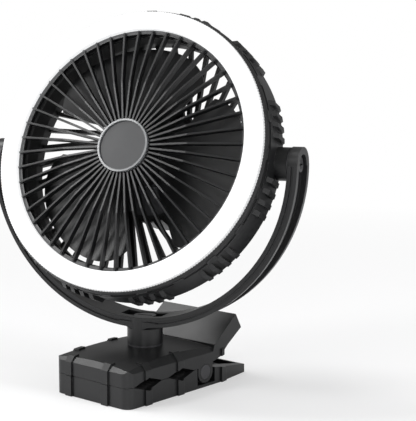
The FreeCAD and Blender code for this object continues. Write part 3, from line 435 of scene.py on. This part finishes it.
def spokes(mesh, count, inner, outer, width, low, high):
    """Straight raised bars set round a centre."""
    for index in range(count):
        turn = Matrix.Rotation(tau * index / count, 4, "Z")
        corners = []
        for level in (low, high):
            for x, y in ((inner, -width), (outer, -width), (outer, width), (inner, width)):
                corners.append(mesh.verts.new(turn @ Vector((x, y / 2, level))))
        lower, upper = corners[:4], corners[4:]
        mesh.faces.new(lower[::-1])
        mesh.faces.new(upper)
        for step in range(4):
            other = (step + 1) % 4
            mesh.faces.new((lower[step], lower[other], upper[other], upper[step]))


# The marks stand in the dish of each button, below its crown
MARK_LOW = HUB_REAR - BUTTON_PROUD + MARK_SINK
MARK_HIGH = MARK_LOW + MARK_THICKNESS


def speed_mark(mesh):
    """Three curved vanes for the fan button."""
    for index in range(VANE_COUNT):
        start = tau * index / VANE_COUNT
        arc_strip(mesh, VANE_RADIUS, VANE_WIDTH, start, start + VANE_SPAN, MARK_LOW, MARK_HIGH)


def light_mark(mesh):
    """A ring with rays for the light button."""
    arc_strip(mesh, LAMP_RADIUS, LAMP_WIDTH, 0.0, LAMP_SPAN, MARK_LOW, MARK_HIGH, LAMP_STEPS)
    spokes(mesh, RAY_COUNT, RAY_INNER, RAY_OUTER, RAY_WIDTH, MARK_LOW, MARK_HIGH)


def wire_piece(name, points, body):
    """Round spring wire along points, riding on a body."""
    curve = bpy.data.curves.new(name, "CURVE")
    curve.dimensions = "3D"
    curve.bevel_depth = SPRING_WIRE
    curve.bevel_resolution = WIRE_RESOLUTION
    curve.use_fill_caps = True
    spline = curve.splines.new("POLY")
    spline.points.add(len(points) - 1)
    for point, place in zip(spline.points, points):
        point.co = (*place, 1.0)
    piece = bpy.data.objects.new(name, curve)
    bpy.context.scene.collection.objects.link(piece)
    curve.materials.append(STEEL)
    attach(piece, body)
    return piece


def spring_coil():
    """Wound torsion spring with its lower leg, in place of the plain rings."""
    low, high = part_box("clamp_spring")
    start, end = low.x + SPRING_WIRE, high.x - SPRING_WIRE
    points = [Vector((start, HINGE_Y + SPRING_LEG, SPRING_FLOOR)),
              Vector((start, HINGE_Y, HINGE_Z - SPRING_RADIUS))]
    steps = int(SPRING_TURNS * SPRING_STEPS_PER_TURN)
    for step in range(1, steps + 1):
        angle = -tau / 4 - tau * SPRING_TURNS * step / steps
        across = start + (end - start) * step / steps
        along, rise = SPRING_RADIUS * cos(angle), SPRING_RADIUS * sin(angle)
        points.append(Vector((across, HINGE_Y + along, HINGE_Z + rise)))
    return wire_piece("jaw_spring", points, "base")


def spring_lever_leg():
    """Upper leg of the spring, which turns with the lever about the coil."""
    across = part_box("clamp_spring")[1].x - SPRING_WIRE
    points = [Vector((across, HINGE_Y, HINGE_Z + SPRING_RADIUS)),
              Vector((across, HINGE_Y + SPRING_LEG, SPRING_CEILING))]
    return wire_piece("jaw_spring_leg", points, "upper_clamp")


# Floor, world, lamps and camera

def build_floor():
    """Pale floor that shows white to the camera and keeps the soft shadow."""
    data = bpy.data.meshes.new("studio_floor")
    sides = ((-1, -1), (1, -1), (1, 1), (-1, 1))
    corners = [(x * FLOOR_HALF, y * FLOOR_HALF, FLOOR_LEVEL) for x, y in sides]
    data.from_pydata(corners, [], [(0, 1, 2, 3)])
    floor = bpy.data.objects.new("studio_floor", data)
    bpy.context.scene.collection.objects.link(floor)
    material, nodes, links, shader = empty_material("pale_floor")
    shader.inputs["Base Color"].default_value = FLOOR_COLOUR
    shader.inputs["Roughness"].default_value = FLOOR_ROUGHNESS
    shader.inputs["Specular IOR Level"].default_value = FLOOR_SPECULAR
    white = nodes.new("ShaderNodeEmission")
    white.inputs["Color"].default_value = WHITE
    place = nodes.new("ShaderNodeNewGeometry").outputs["Position"]
    reach = add(nodes, "ShaderNodeVectorMath", operation="LENGTH")
    links.new(place, reach.inputs[0])
    spread = nodes.new("ShaderNodeMapRange")
    spread.inputs["From Min"].default_value = FLOOR_NEAR
    spread.inputs["From Max"].default_value = FLOOR_FAR
    spread.inputs["To Min"].default_value = FLOOR_WHITE_NEAR
    spread.inputs["To Max"].default_value = FLOOR_WHITE_FAR
    links.new(reach.outputs["Value"], spread.inputs["Value"])
    seen = nodes.new("ShaderNodeLightPath").outputs["Is Camera Ray"]
    mix = nodes.new("ShaderNodeMixShader")
    links.new(math_node(nodes, links, "MULTIPLY", seen, spread.outputs[0]), mix.inputs[0])
    links.new(shader.outputs[0], mix.inputs[1])
    links.new(white.outputs[0], mix.inputs[2])
    output = next(node for node in nodes if node.type == "OUTPUT_MATERIAL")
    links.new(mix.outputs[0], output.inputs["Surface"])
    data.materials.append(material)


def background(nodes, strength):
    """White background shader of one strength."""
    shader = nodes.new("ShaderNodeBackground")
    shader.inputs["Color"].default_value = WHITE
    shader.inputs["Strength"].default_value = strength
    return shader


def build_world():
    """White to the camera, softer for diffuse light and darker in reflections."""
    world = bpy.data.worlds.new("studio")
    bpy.context.scene.world = world
    world.use_nodes = True
    nodes, links = world.node_tree.nodes, world.node_tree.links
    nodes.clear()
    output = nodes.new("ShaderNodeOutputWorld")
    seen = background(nodes, WORLD_SEEN)
    fill = background(nodes, WORLD_FILL)
    glint = background(nodes, WORLD_GLINT)
    path = nodes.new("ShaderNodeLightPath")
    either = add(nodes, "ShaderNodeMath", operation="MAXIMUM")
    links.new(path.outputs["Is Camera Ray"], either.inputs[0])
    links.new(path.outputs["Is Transmission Ray"], either.inputs[1])
    soft = nodes.new("ShaderNodeMixShader")
    links.new(path.outputs["Is Glossy Ray"], soft.inputs[0])
    links.new(fill.outputs[0], soft.inputs[1])
    links.new(glint.outputs[0], soft.inputs[2])
    mix = nodes.new("ShaderNodeMixShader")
    links.new(either.outputs[0], mix.inputs[0])
    links.new(soft.outputs[0], mix.inputs[1])
    links.new(seen.outputs[0], mix.inputs[2])
    links.new(mix.outputs[0], output.inputs[0])


def area_light(name, place, target, width, height, power):
    """Rectangular lamp that looks at a target."""
    data = bpy.data.lights.new(name, "AREA")
    data.shape = "RECTANGLE"
    data.size = width
    data.size_y = height
    data.energy = power
    lamp = bpy.data.objects.new(name, data)
    lamp.location = place
    aim = Vector(target) - Vector(place)
    lamp.rotation_euler = aim.to_track_quat("-Z", "Y").to_euler()
    bpy.context.scene.collection.objects.link(lamp)


def sun_light(name, direction, angle, strength):
    """Far lamp; its angle in degrees softens the shadow."""
    data = bpy.data.lights.new(name, "SUN")
    data.angle = radians(angle)
    data.energy = strength
    lamp = bpy.data.objects.new(name, data)
    lamp.rotation_euler = Vector(direction).to_track_quat("-Z", "Y").to_euler()
    bpy.context.scene.collection.objects.link(lamp)


def build_camera():
    """Camera at the place and focal length fitted to the photograph."""
    data = bpy.data.cameras.new("studio_camera")
    data.sensor_fit = "HORIZONTAL"
    data.sensor_width = SENSOR_WIDTH
    data.lens = SENSOR_WIDTH * FOCAL_PIXELS / IMAGE_WIDTH
    camera = bpy.data.objects.new("studio_camera", data)
    azimuth, pitch = CAMERA_AZIMUTH, CAMERA_PITCH
    back = Vector((sin(azimuth) * cos(pitch), -cos(azimuth) * cos(pitch), sin(pitch)))
    right = Vector((cos(azimuth), sin(azimuth), 0.0))
    up = back.cross(right)
    turn = Matrix((right, up, back)).transposed().to_4x4()
    camera.matrix_world = Matrix.Translation(CAMERA_PLACE) @ turn
    bpy.context.scene.collection.objects.link(camera)
    bpy.context.scene.camera = camera


dress_nodes()
mesh_piece("light_ring_beads", light_ring_beads, LIGHT_RIM, "head", HEAD)
for label, builder, x, body in (("speed_button_mark", speed_mark, -BUTTON_X, "speed_key"),
                                ("light_button_mark", light_mark, BUTTON_X, "light_key")):
    shift = HEAD @ Matrix.Translation((x, BUTTON_Y, 0))
    mesh_piece(label, builder, MARK, body, shift)
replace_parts(spring_coil(), "clamp_spring")
spring_lever_leg()

build_floor()
build_world()
build_camera()
sun_light("studio_sun", direction=(0.75, 0.35, -1.1), angle=22.0, strength=1.5)
area_light("key_left", place=(-0.45, -1.05, 0.75), target=(0, 0, 0.08), width=0.3, height=0.5,
           power=7.0)
area_light("side_right", place=(1.2, 0.15, 0.75), target=(0, 0, 0.10), width=0.35, height=1.0,
           power=9.0)
area_light("corner_strip", place=(0.75, -1.0, 0.30), target=(0, 0, 0.05), width=0.07, height=0.9,
           power=3.0)
bpy.context.scene.view_settings.view_transform = "Standard"
